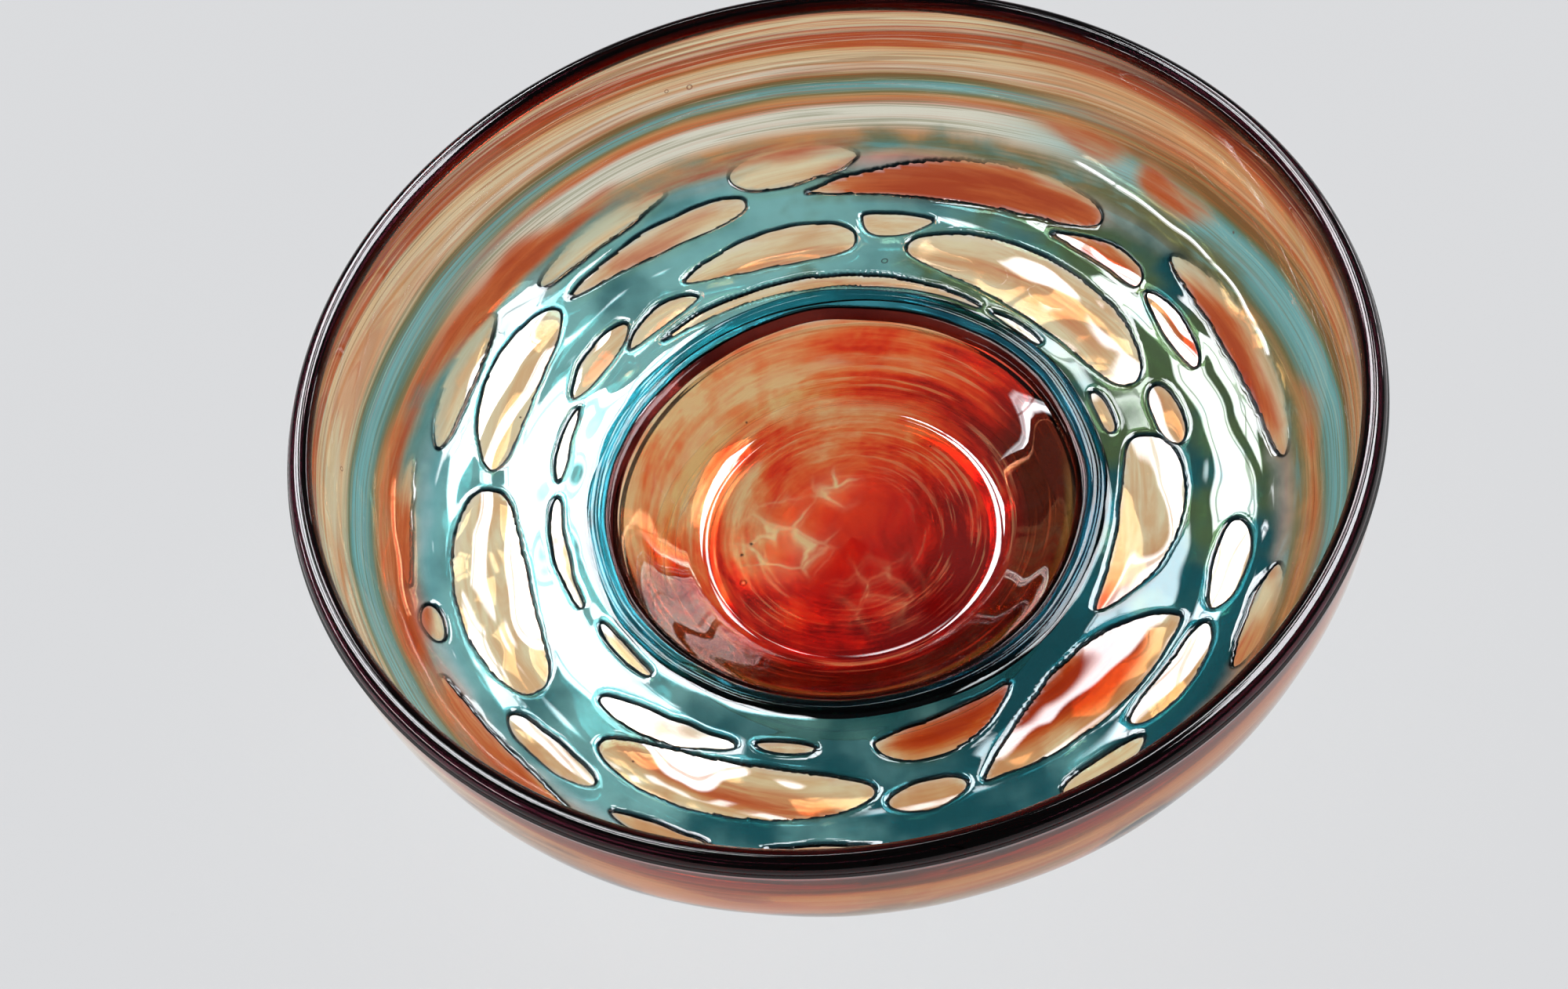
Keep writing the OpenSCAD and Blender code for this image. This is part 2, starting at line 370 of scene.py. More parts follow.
def make_wall():
    """The clear gather and all its wraps as one shell, with the numbers that its material reads."""
    web_in, web_out = run_at_radius(RING_OUT_R), run_at_radius(WEB_OUT_R)
    inner_run = np.r_[0, np.linspace(5, web_in, 34), np.linspace(web_in, web_out, 52)[1:]]
    inner_run = np.r_[inner_run, np.linspace(web_out, RUN_END, 30)[1:]]
    outer_run = np.r_[np.linspace(RUN_END, web_out, 22), np.linspace(web_out, web_in, 40)[1:]]
    outer_run = np.r_[outer_run, np.linspace(web_in, 5, 24)[1:], 0]
    path = np.vstack([on_profile(inner_run, 0), on_profile(outer_run, GLASS_T)])
    path[0, 0] = path[-1, 0] = 0
    inside, outside = inner_run[1:], outer_run[:-1]
    normal = normals_at(np.r_[inside, outside])

    def shape(angle, outline):
        inside_wave = wave_depth(np.full(len(inside), angle), inside, INSIDE_SEED)
        outside_wave = wave_depth(np.full(len(outside), angle), outside, OUTSIDE_SEED)
        return outline + normal * np.r_[inside_wave, outside_wave][:, None]

    values = {
        "run": np.r_[inner_run, outer_run],
        "inner": np.r_[np.ones(len(inner_run)), np.zeros(len(outer_run))],
    }
    wall = lathe_solid("glass_wall", path, WALL_SEGMENTS, values, shape)
    points = np.empty(len(wall.data.vertices) * 3)
    wall.data.vertices.foreach_get("co", points)
    x, y, _ = points.reshape(-1, 3).T / MM
    run = np.empty(len(x), np.float32)
    wall.data.attributes["run"].data.foreach_get("value", run)
    edge = distance_to_windows(x, y)
    under_web = np.clip((edge + 0.3) / 1.2, 0, 1) * np.clip((WEB_COLOR_END - run) / 6, 0, 1)
    add_values(wall.data, {
        "patch": patch_strength(np.arctan2(y, x), run),
        "under_web": under_web * (run > WEB_COLOR_START),
        "window": np.clip((0.6 - edge) / 0.9, 0, 1),
    })
    return wall


def make_lip():
    turn = np.linspace(0, 2 * np.pi, 24, endpoint=False)
    r = BOWL_R - LIP_BEAD_R + LIP_BEAD_R * np.cos(turn)
    return lathe("lip_bead", np.column_stack([r, LIP_Z + LIP_BEAD_R * np.sin(turn)]), BEAD_SEGMENTS)


def make_bead(name, r_in, r_out, rise):
    """A rounded bead on the inside surface, sunk a little into it, that strays as the ring does."""
    share = np.linspace(0, 1, 18)
    across = np.r_[share, share[::-1][1:-1]]
    first, last = run_at_radius(r_in), run_at_radius(r_out)
    run = first + (last - first) * across
    arch = rise * np.sqrt(1 - (2 * share - 1) ** 2)
    depth = np.r_[0.2 - arch, np.full(len(share) - 2, BEAD_SUNK)]

    def shape(angle, outline):
        return on_profile(run + ring_wobble(np.array([angle])), depth)

    return lathe(name, on_profile(run, depth), BEAD_SEGMENTS, {"across": across}, shape)


WEB_RISE = 0.7
# The rounded shoulder's width, and how high the web stands at the windows' edges
WEB_SHOULDER, WEB_EDGE_RISE = 1.7, 0.05
# At its outer border the web dips below the wall's surface, over this width
WEB_OUTER_DIP, WEB_TAPER = -0.25, 9
WEB_UNDER_RING = 2.5


def make_web():
    """The raised teal network, clipped to the windows' edges.

    Each point of a regular grid, and each place where the grid crosses a window's edge, has a
    point on the top (side 0) and one on the underside (side 1).
    """
    run = np.linspace(run_at_radius(RING_OUT_R) - WEB_UNDER_RING, run_at_radius(WEB_OUT_R), WEB_ROWS)
    angles = np.linspace(0, 2 * np.pi, WEB_SEGMENTS, endpoint=False)
    angle, along = (grid.ravel() for grid in np.meshgrid(angles, run, indexing="ij"))
    x, y, _ = places(angle, along)
    edge = distance_to_windows(x, y) + 0.5 * waves(x, y, 0 * x, 7, 7)
    share = 1 - np.clip(edge / WEB_SHOULDER, 0, 1)
    stray = 2.5 * waves(x, y, 0 * x, 18, 8)
    taper = np.clip((run[-1] - along - 3 + stray) / WEB_TAPER, 0, 1)
    border = WEB_OUTER_DIP + (WEB_EDGE_RISE - WEB_OUTER_DIP) * taper
    wave = wave_depth(angle, along, INSIDE_SEED)
    height = border + WEB_RISE * np.sqrt(1 - share**2) * taper
    sides = on_profile(along, -height - wave), on_profile(along, WEB_SUNK - wave)

    verts, faces, values = [], [], []
    index = {}

    def add_point(key, place, turn, value):
        index[key] = len(verts)
        verts.append((place[0] * math.cos(turn), place[0] * math.sin(turn), place[1]))
        values.append(value)

    def corner(i, side):
        """The grid's point i on one side."""
        key = (i, side)
        if key not in index:
            add_point(key, sides[side][i], angle[i], (edge[i], along[i]))
        return index[key]

    def crossing(i, j, side):
        """The place between grid points i and j where a window's edge passes."""
        key = (min(i, j), max(i, j), side)
        if key not in index:
            t = edge[i] / (edge[i] - edge[j])
            turn = angle[i] + ((angle[j] - angle[i] + np.pi) % (2 * np.pi) - np.pi) * t
            at, waved, up = (v[i] + (v[j] - v[i]) * t for v in (along, wave, border))
            place = on_profile(np.array([at]), (-up - waved, WEB_SUNK - waved)[side])[0]
            add_point(key, place, turn, (0.0, at))
        return index[key]

    def clip(triangle):
        """Keeps the part of one grid triangle that lies in the web, on both sides, with its rim."""
        outline, rim = [], []
        for i, j in zip(triangle, triangle[1:] + triangle[:1]):
            if edge[i] > 0:
                outline.append((corner, (i,)))
            if (edge[i] > 0) != (edge[j] > 0):
                outline.append((crossing, (i, j)))
                rim.append((i, j))
        if not outline:
            return
        faces.append([point(*where, 0) for point, where in outline])
        faces.append([point(*where, 1) for point, where in outline][::-1])
        if rim:
            a, b = rim
            faces.append([crossing(*a, 0), crossing(*b, 0), crossing(*b, 1), crossing(*a, 1)])

    neighbours = [(i * WEB_ROWS, (i + 1) % WEB_SEGMENTS * WEB_ROWS) for i in range(WEB_SEGMENTS)]
    for a, b in neighbours:
        for k in range(WEB_ROWS - 1):
            clip((a + k, b + k, b + k + 1))
            clip((a + k, b + k + 1, a + k + 1))
    for a, b in neighbours:
        for k in (0, WEB_ROWS - 1):
            if edge[a + k] > 0 and edge[b + k] > 0:
                faces.append([corner(a + k, 0), corner(b + k, 0), corner(b + k, 1), corner(a + k, 1)])
    edge_value, run_value = np.array(values).T
    web = new_piece("teal_web", verts, faces, {"edge": edge_value, "run": run_value})
    web.data.set_sharp_from_angle(angle=math.radians(60))
    return web


def pad_under(run):
    """How deep the pad's underside lies below the inside surface: deepest in the middle."""
    return GLASS_T + PAD_SWELL * (1 - (run / run_at_radius(PAD_OUT_R)) ** 2)


def make_pad():
    """The swirled layer under the well, thickest in the middle."""
    run = np.linspace(0, run_at_radius(PAD_OUT_R), 40)
    bottom = on_profile(run[::-1], pad_under(run[::-1]) + 0.05)
    path = np.vstack([on_profile(run, GLASS_T - PAD_SUNK), bottom])
    path[0, 0] = path[-1, 0] = 0
    return lathe_solid("well_pad_glass", path, WELL_SEGMENTS)


def make_foot():
    """The solid glass under the well: it narrows from the pad's edge to a low disc with a ground hollow."""
    run = np.linspace(0, run_at_radius(PAD_OUT_R - 0.8), 28)
    top = on_profile(run, pad_under(run) - FOOT_SUNK)
    side = [
        top[-1], (48, 17.4), (43, 12.4), (FOOT_R + 1.2, 9), (FOOT_R - 1.6, 5.4), (FOOT_R - 0.7, 2.2),
        (FOOT_R - 0.3, 0.8),
    ]
    rim = [(FOOT_R - 1.2, 0.12), (FOOT_R - 1.8, 0), (24.6, 0), (24, 0.1)]
    hollow = [(22.4, 0.9), (21.5, 1), (10, 1), (0, 1)]
    path = np.vstack([top, catmull_rom(side, 6)[1:], rim, hollow])
    path[0, 0] = 0
    return lathe_solid("foot_glass", path, WELL_SEGMENTS)


# ------------------------------------------------------------------ materials

Place = namedtuple("Place", "x y z r cos sin")


class Nodes:
    """Short calls for building the node tree of a material or a world."""

    def __init__(self, owner):
        owner.use_nodes = True
        self.owner = owner
        self.tree = owner.node_tree

    def add(self, kind, **settings):
        node = self.tree.nodes.new(kind)
        for key, value in settings.items():
            setattr(node, key, value)
        return node

    def put(self, value, socket):
        """Links another socket to this one, or sets its value."""
        if isinstance(value, bpy.types.NodeSocket):
            self.tree.links.new(value, socket)
        else:
            socket.default_value = value

    def build(self, kind, values, **settings):
        """A node with its first sockets filled."""
        node = self.add(kind, **settings)
        for k, value in enumerate(values):
            self.put(value, node.inputs[k])
        return node

    def math(self, operation, *values, clamp=False):
        return self.build("ShaderNodeMath", values, operation=operation, use_clamp=clamp).outputs[0]

    def sum(self, *values):
        total = values[0]
        for value in values[1:]:
            total = self.math("ADD", total, value)
        return total

    def minus(self, a, b):
        return self.math("SUBTRACT", a, b)

    def times(self, a, b):
        return self.math("MULTIPLY", a, b)

    def highest(self, a, b):
        return self.math("MAXIMUM", a, b)

    def remap(self, value, low, high, to_low=0.0, to_high=1.0):
        """A smooth step from to_low, where the value is low, to to_high, where it is high."""
        values = value, low, high, to_low, to_high
        return self.build("ShaderNodeMapRange", values, interpolation_type="SMOOTHSTEP").outputs[0]

    def spread(self, value, reach):
        """A value around 0.5 made into an offset of up to plus or minus reach."""
        return self.times(self.minus(value, 0.5), 2 * reach)

    def mix(self, share, a, b, blend="MIX"):
        """One colour mixed into another; a Mix node's colours are its sockets 6 and 7."""
        node = self.add("ShaderNodeMix", data_type="RGBA", blend_type=blend)
        self.put(share, node.inputs[0])
        self.put(a, node.inputs[6])
        self.put(b, node.inputs[7])
        return node.outputs[2]

    def mix_numbers(self, share, a, b):
        node = self.add("ShaderNodeMix", data_type="FLOAT")
        self.put(share, node.inputs[0])
        self.put(a, node.inputs[2])
        self.put(b, node.inputs[3])
        return node.outputs[0]

    def squared(self, color):
        return self.mix(1.0, color, color, "MULTIPLY")

    def ramp(self, value, stops):
        node = self.add("ShaderNodeValToRGB")
        line = node.color_ramp.elements
        while len(line) < len(stops):
            line.new(0.5)
        for element, (position, color) in zip(line, stops):
            element.position = position
            element.color = color
        self.put(value, node.inputs[0])
        return node.outputs[0]

    def vector(self, x, y, z):
        return self.build("ShaderNodeCombineXYZ", (x, y, z)).outputs[0]

    def texture(self, kind, vector, settings, **modes):
        """A texture node over a vector, with named numbers on its sockets."""
        node = self.add(kind, **modes)
        for key, value in {"Vector": vector, **settings}.items():
            self.put(value, node.inputs[key])
        return node

    def noise(self, vector, scale, detail=2.0, roughness=0.5, distortion=0.0):
        settings = {"Scale": scale, "Detail": detail, "Roughness": roughness, "Distortion": distortion}
        return self.texture("ShaderNodeTexNoise", vector, settings).outputs[0]

    def veins(self, vector, scale):
        """Distance to the nearest border between cells."""
        node = self.texture("ShaderNodeTexVoronoi", vector, {"Scale": scale}, feature="DISTANCE_TO_EDGE")
        return node.outputs["Distance"]

    def distance(self, vector, place):
        return self.build("ShaderNodeVectorMath", (vector, place), operation="DISTANCE").outputs["Value"]

    def split(self, vector):
        return self.build("ShaderNodeSeparateXYZ", (vector,)).outputs

    def attribute(self, name):
        return self.add("ShaderNodeAttribute", attribute_name=name).outputs["Fac"]

    def place(self):
        """Position in millimetres, and the radius, cosine and sine of the angle round the bowl."""
        metres = self.split(self.add("ShaderNodeTexCoord").outputs["Object"])
        x, y, z = (self.times(value, 1 / MM) for value in metres)
        r = self.math("SQRT", self.sum(self.times(x, x), self.times(y, y)))
        safe = self.highest(r, 0.01)
        return Place(x, y, z, r, self.math("DIVIDE", x, safe), self.math("DIVIDE", y, safe))


# How bright the pale floor is behind the glass
FLOOR_LIGHT = 0.66


def seen(red, green, blue):
    """The glass colour that looks like this, 0 to 255, when the pale floor is seen through it."""
    parts = [v / 255 for v in (red, green, blue)]
    linear = [v / 12.92 if v < 0.04045 else ((v + 0.055) / 1.055) ** 2.4 for v in parts]
    return tuple(min(v / FLOOR_LIGHT, 0.98) for v in linear) + (1.0,)


CREAM = seen(218, 200, 170)
PALE = seen(214, 208, 194)
BEIGE = seen(204, 174, 134)
TAN = seen(190, 140, 92)
AMBER = seen(196, 146, 92)
ORANGE = seen(186, 98, 44)
RED = seen(168, 66, 26)
BRICK = seen(150, 50, 24)
TEAL = seen(122, 172, 172)
SEA = seen(96, 146, 142)
OLIVE = seen(112, 112, 72)
BROWN = seen(132, 92, 46)
# painted shade: the near-black teal of the dark lines painted along the web's and the ring's edges
EDGE_SHADE = seen(6, 26, 34)
OXBLOOD = seen(84, 16, 10)
WHITISH = (0.9, 0.88, 0.85, 1.0)


def glass(nodes, color, roughness=0.015, ior=1.5, gloss=1.0):
    """Makes the material clear glass of this colour. A gloss below 1 weakens its reflections."""
    shader = nodes.tree.nodes["Principled BSDF"]
    shader.inputs["Specular Tint"].default_value = (gloss, gloss, gloss, 1)
    nodes.put(color, shader.inputs["Base Color"])
    shader.inputs["Transmission Weight"].default_value = 1.0
    shader.inputs["IOR"].default_value = ior
    shader.inputs["Roughness"].default_value = roughness
    return nodes.owner


def new_material(name):
    """The nodes of a new material, and the place that it is seen at."""
    nodes = Nodes(bpy.data.materials.new(name))
    return nodes, nodes.place()


# How far the trails rise and fall round the bowl, as (angle, rise): the low and the high ones
LOW_DRIFT = [
    (-90, 3), (-60, 7), (-15, 7.5), (-5, 6), (20, 3.4), (45, 1), (60, -0.6), (75, -1), (90, -0.3),
    (105, 0.4), (120, -0.2), (150, -1.6), (180, -2.6), (200, -4.5), (235, -5), (270, 3),
]
HIGH_DRIFT = [
    (-90, 5), (-40, 5), (0, 4.2), (20, 4), (45, 2.6), (60, 0.9), (75, -0.2), (90, 0), (105, 1),
    (120, 1.9), (150, 4.2), (165, 5.6), (180, 6), (210, 6), (270, 5),
]
DRIFT_REACH = 10

# Colours up the wall, by distance along the profile, at its four sides
FAR_BANDS = [
    (112, AMBER), (114.5, PALE), (118.5, PALE), (120, ORANGE), (121.3, AMBER), (122.6, OLIVE),
    (123.8, TEAL), (125.2, SEA), (126.2, OLIVE), (127.3, BROWN), (128.0, BEIGE), (129.2, PALE),
    (130.2, TAN), (131, CREAM), (133.6, BEIGE), (134.3, AMBER), (134.8, RED), (136, ORANGE),
    (136.1, CREAM), (136.5, RED), (139.3, RED), (139.8, CREAM), (140.3, BEIGE), (140.7, RED),
    (141.4, CREAM), (142.6, BEIGE), (142.9, ORANGE), (143.5, CREAM), (144.6, BEIGE), (145.2, BRICK),
    (147, OXBLOOD),
]
LEFT_BANDS = [
    (112, ORANGE), (114, RED), (115.6, ORANGE), (117.0, TAN), (118.2, OLIVE), (119.6, SEA),
    (121.4, TEAL), (124.6, TEAL), (125.8, SEA), (127, OLIVE), (128, BEIGE), (129, CREAM), (130.2, TAN),
    (131, CREAM), (133.5, BEIGE), (134.6, CREAM), (135.2, RED), (137, RED), (137.6, TAN),
    (138.6, AMBER), (139.4, BRICK), (142, OXBLOOD), (147, OXBLOOD),
]
RIGHT_BANDS = [
    (104, AMBER), (107, OLIVE), (109, SEA), (112, TEAL), (115.5, TEAL), (117, SEA), (118.2, OLIVE),
    (119.2, BROWN), (121, BROWN), (122, AMBER), (123, BROWN), (124.4, AMBER), (125.4, ORANGE),
    (126.4, BEIGE), (127.4, TAN), (128.4, AMBER), (129.6, BEIGE), (131, TAN), (132.4, AMBER),
    (134, RED), (136.4, BRICK), (139.5, OXBLOOD),
]
NEAR_BANDS = [
    (104, AMBER), (108, OLIVE), (112, SEA), (116, OLIVE), (119, BROWN), (122, TAN), (125, BEIGE),
    (128, TAN), (131, BEIGE), (134, AMBER), (137, ORANGE), (140, RED), (144, BRICK), (147, OXBLOOD),
]


def bands(nodes, height, stops):
    """A ramp over height along the wall, from low to high."""
    low, high = stops[0][0], stops[-1][0]
    share = nodes.math("DIVIDE", nodes.minus(height, low), high - low, clamp=True)
    return nodes.ramp(share, [((h - low) / (high - low), color) for h, color in stops])


def drift(nodes, turn, points):
    """The rise of a trail at a share of a turn from the near side, from a smooth curve through the points."""
    node = nodes.add("ShaderNodeFloatCurve")
    curve = node.mapping.curves[0]
    on_curve = [((angle + 90) / 360, 0.5 + rise / (2 * DRIFT_REACH)) for angle, rise in points]
    curve.points[0].location = on_curve[0]
    for place in on_curve[1:-1]:
        curve.points.new(*place)
    curve.points[-1].location = on_curve[-1]
    node.mapping.update()
    nodes.put(turn, node.inputs["Value"])
    return nodes.spread(node.outputs[0], DRIFT_REACH)


# Small bubbles in the glass and dark specks, as (angle, distance along the profile, radius)
SEEDS = [
    (196, 28, 0.9), (98, 131, 0.8), (101, 132, 0.55), (171, 128, 0.6), (207, 131, 0.7), (20, 120, 0.5),
    (71, 75, 0.9),
]
SPECKS = [
    (180, 26, 0.5), (174, 23.5, 0.45), (118, 41, 0.3), (150, 88, 0.35), (225, 86, 0.4), (40, 30, 0.25),
]


def on_wall(angle, run):
    """The place on the inside surface at an angle in degrees and a distance along the profile."""
    return tuple(float(part[0]) for part in places(math.radians(angle), np.array([run])))


def add_seeds(nodes, at, color):
    place = nodes.vector(at.x, at.y, at.z)
    for angle, run, radius in SEEDS:
        away = nodes.distance(place, on_wall(angle, run))
        # painted shade and painted highlight: each bubble is painted as a dark red-brown rim round a pale
        # middle, for the way the bubble bends light
        grows = nodes.remap(away, radius * 0.45, radius * 0.8)
        rim = nodes.times(grows, nodes.remap(away, radius * 1.1, radius * 0.85))
        color = nodes.mix(nodes.times(rim, 0.8), color, seen(104, 48, 28))
        color = nodes.mix(nodes.remap(away, radius * 0.5, radius * 0.2, 0, 0.6), color, CREAM)
    for angle, run, radius in SPECKS:
        away = nodes.distance(place, on_wall(angle, run))
        color = nodes.mix(nodes.remap(away, radius * 1.2, radius * 0.6, 0, 0.85), color, seen(50, 24, 12))
    return color


def trail_color(nodes, at, run):
    """The colour trails wound round the upper wall, with thin drawn-out threads over them."""
    # the angle from the near side, as a share of a full turn
    turn = nodes.times(nodes.math("ARCTAN2", at.x, nodes.times(at.y, -1)), 1 / (2 * math.pi))
    turn = nodes.math("FRACT", nodes.sum(turn, 1))
    low, high = (drift(nodes, turn, points) for points in (LOW_DRIFT, HIGH_DRIFT))
    level = nodes.minus(run, nodes.mix_numbers(nodes.remap(run, 126, 135), low, high))

    def streaks(stretch, *noise_numbers, shift=0):
        around = nodes.sum(at.cos, shift) if shift else at.cos
        return nodes.noise(nodes.vector(around, at.sin, nodes.times(level, stretch)), *noise_numbers)

    slow, fine = streaks(0.06, 1.5, 2), streaks(0.55, 1.0, 3, 0.6)
    height = nodes.sum(level, nodes.spread(slow, 1.6), nodes.spread(fine, 1.3))
    left, right = bands(nodes, height, LEFT_BANDS), bands(nodes, height, RIGHT_BANDS)
    near, far = bands(nodes, height, NEAR_BANDS), bands(nodes, height, FAR_BANDS)
    sideways = nodes.mix(nodes.remap(at.cos, -0.5, 0.5), left, right)
    lengthways = nodes.mix(nodes.remap(at.sin, -0.6, 0.4), near, far)
    color = nodes.mix(nodes.remap(nodes.math("ABSOLUTE", at.cos), 0.45, 0.92), lengthways, sideways)

    threads, others = streaks(0.8, 1.3, 3, 0.65), streaks(1.1, 1.2, 2, 0.6, shift=5)
    upper = nodes.remap(run, 117, 127, 0.3, 1)
    color = nodes.mix(nodes.times(nodes.remap(threads, 0.56, 0.61, 0, 0.42), upper), color, ORANGE)
    color = nodes.mix(nodes.times(nodes.remap(threads, 0.43, 0.38, 0, 0.4), upper), color, CREAM)
    dark = nodes.mix(nodes.remap(run, 123, 129), OLIVE, BROWN)
    color = nodes.mix(nodes.remap(others, 0.55, 0.61, 0, 0.5), color, dark)
    return nodes.mix(nodes.times(nodes.remap(others, 0.40, 0.35, 0, 0.35), upper), color, ORANGE)


def collar_color(nodes, at, run, cloud):
    """The smoky flat part, and the teal and olive collar round it at the foot of the wall."""
    swirled = nodes.vector(nodes.times(at.cos, 1.5), nodes.times(at.sin, 1.5), nodes.times(run, 0.13))
    swirls = nodes.noise(swirled, 1.6, 4, 0.6, 0.9)
    green = nodes.sum(nodes.spread(swirls, 1.4), nodes.times(at.cos, 0.6), nodes.times(at.sin, 0.1))
    collar = nodes.mix(nodes.remap(green, -0.1, 0.5), SEA, OLIVE)
    collar = nodes.mix(nodes.remap(swirls, 0.52, 0.64, 0, 0.6), collar, TEAL)
    flat = nodes.mix(nodes.remap(swirls, 0.35, 0.62), BEIGE, CREAM)
    smoky = nodes.sum(cloud, nodes.times(at.sin, -0.12), nodes.times(at.cos, 0.04))
    flat = nodes.mix(nodes.remap(smoky, 0.5, 0.72, 0, 0.75), flat, TAN)
    color = nodes.mix(nodes.remap(run, 97, 102), flat, collar)
    return nodes.mix(nodes.attribute("window"), color, flat)


def add_patches(nodes, at, run, color):
    """Amber to red patches, strongest where the attribute says, with stirred edges."""
    patch = nodes.attribute("patch")
    stirred = nodes.vector(nodes.times(at.cos, 2), nodes.times(at.sin, 2), nodes.times(run, 0.22))
    stir = nodes.noise(stirred, 1.6, 4, 0.6, 0.5)
    heat = nodes.sum(nodes.times(patch, 0.8), nodes.spread(stir, 0.9))
    hot = nodes.ramp(heat, [(0.15, AMBER), (0.5, ORANGE), (1.0, RED)])
    cover = nodes.sum(patch, nodes.times(nodes.spread(stir, 0.5), patch))
    return nodes.mix(nodes.remap(cover, 0.05, 0.7), color, hot)


def wall_material():
    nodes, at = new_material("streaked_wall_glass")
    run = nodes.attribute("run")
    cloud = nodes.noise(nodes.vector(at.x, at.y, at.z), 0.045, 3, 0.55, 0.8)
    ragged = nodes.sum(run, nodes.spread(cloud, 7))
    collar = collar_color(nodes, at, run, cloud)
    color = nodes.mix(nodes.remap(ragged, 108, 114), collar, trail_color(nodes, at, run))
    # painted shade: the near side, seen from outside, is painted darker and browner
    near_side = nodes.times(nodes.remap(at.sin, -0.4, -0.85), nodes.remap(run, 100, 108))
    painted_near_shade = nodes.mix(1.0, color, nodes.mix(0.6, color, TAN), "MULTIPLY")
    color = nodes.mix(near_side, color, painted_near_shade)
    color = add_patches(nodes, at, run, color)
    color = nodes.mix(nodes.times(nodes.attribute("under_web"), 0.85), color, seen(216, 220, 220))
    color = nodes.mix(nodes.remap(at.r, 51.5, 53.5), well_color(nodes, at), color)
    color = add_seeds(nodes, at, color)
    # the inside face carries most of the colour, so that the trails stay crisp through the wall
    strong = nodes.mix(0.85, color, nodes.squared(color))
    faint = nodes.mix(nodes.remap(at.sin, -0.4, -0.85, 0.35, 0.0), color, WHITISH)
    return glass(nodes, nodes.mix(nodes.attribute("inner"), faint, strong))


def add_veins(nodes, at, color):
    """Cream veins between small cells, left of the well's middle and below it."""
    stray = nodes.spread(nodes.noise(nodes.vector(at.x, at.y, 3.0), 0.09, 2), 7)
    strayed = nodes.vector(nodes.sum(at.x, stray), nodes.minus(nodes.times(at.y, 1.25), stray), 0.0)
    cells = nodes.veins(strayed, 0.105)
    flat = nodes.vector(at.x, at.y, 0.0)
    left = nodes.remap(nodes.distance(flat, (-16, 2, 0)), 15, 4)
    below = nodes.remap(nodes.distance(flat, (3, -17, 0)), 14, 2, 0, 0.4)
    upper = nodes.remap(nodes.distance(flat, (-1, 13, 0)), 8, 2, 0, 0.8)
    where = nodes.highest(nodes.highest(left, below), upper)
    vein = nodes.sum(nodes.remap(cells, 0.10, 0.0, 0, 0.95), nodes.remap(cells, 0.35, 0.03, 0, 0.3))
    return nodes.mix(nodes.math("MINIMUM", nodes.times(vein, where), 0.95), color, seen(238, 194, 170))


def well_color(nodes, at):
    """The swirl in the well: deep red at the lower right, amber and cream arcs at the upper left."""
    # directions that turn with the radius draw the pattern out into a swirl
    bend = nodes.times(at.r, 0.02)
    bend_cos, bend_sin = nodes.math("COSINE", bend), nodes.math("SINE", bend)
    swirl_cos = nodes.minus(nodes.times(at.cos, bend_cos), nodes.times(at.sin, bend_sin))
    swirl_sin = nodes.sum(nodes.times(at.cos, bend_sin), nodes.times(at.sin, bend_cos))
    arcs = nodes.noise(nodes.vector(swirl_cos, swirl_sin, nodes.times(at.r, 0.10)), 1.5, 4, 0.62, 0.35)
    drawn = nodes.vector(nodes.times(swirl_cos, 0.8), nodes.times(swirl_sin, 0.8), nodes.times(at.r, 0.55))
    lines = nodes.noise(drawn, 1.3, 3, 0.6)
    cloud = nodes.noise(nodes.vector(at.x, at.y, 0.0), 0.05, 4, 0.6, 1.2)
    # the arcs and lines reach towards the middle only as soft clouds
    outward = nodes.remap(at.r, 10, 30)
    value = nodes.sum(
        nodes.times(at.x, -0.007), nodes.times(at.y, 0.009), 0.34,
        nodes.times(nodes.spread(arcs, 0.85), outward), nodes.spread(cloud, 0.3),
        nodes.times(nodes.spread(lines, 0.34), outward),
    )
    color = nodes.ramp(value, [
        (0.05, seen(138, 14, 14)), (0.24, seen(184, 28, 20)), (0.40, seen(204, 60, 28)),
        (0.53, seen(210, 102, 56)), (0.66, seen(216, 132, 88)), (0.80, seen(220, 160, 124)),
        (0.95, seen(224, 186, 158)),
    ])
    bright_lines = nodes.times(nodes.remap(lines, 0.56, 0.64, 0, 0.55), outward)
    color = nodes.mix(bright_lines, color, seen(224, 176, 146))
    color = add_veins(nodes, at, color)
    # painted shade: the steep side is painted dark at the near side and at the right, with fine bright lines
    # through the shade
    turned_away = nodes.sum(nodes.times(at.cos, 0.25), nodes.times(at.sin, -1))
    shade = nodes.times(nodes.remap(at.r, 37, 42), nodes.remap(turned_away, -0.3, 0.1))
    deep = nodes.mix(nodes.remap(lines, 0.50, 0.66), seen(80, 20, 14), seen(164, 58, 36))
    color = nodes.mix(nodes.times(shade, 0.92), color, deep)
    rim = nodes.times(nodes.remap(at.r, 49.2, 50.6, 0, 0.6), nodes.remap(turned_away, 0.2, 0.6))
    return nodes.mix(rim, color, seen(150, 124, 70))


def rising_to_far_left(nodes, at, cloud, uneven, lean):
    """A value that rises towards the far left of the bowl, made uneven by a cloud. It places the painted
    light and shade of the web and the ring.
    """
    return nodes.sum(nodes.spread(cloud, uneven), nodes.times(nodes.minus(at.sin, at.cos), lean))


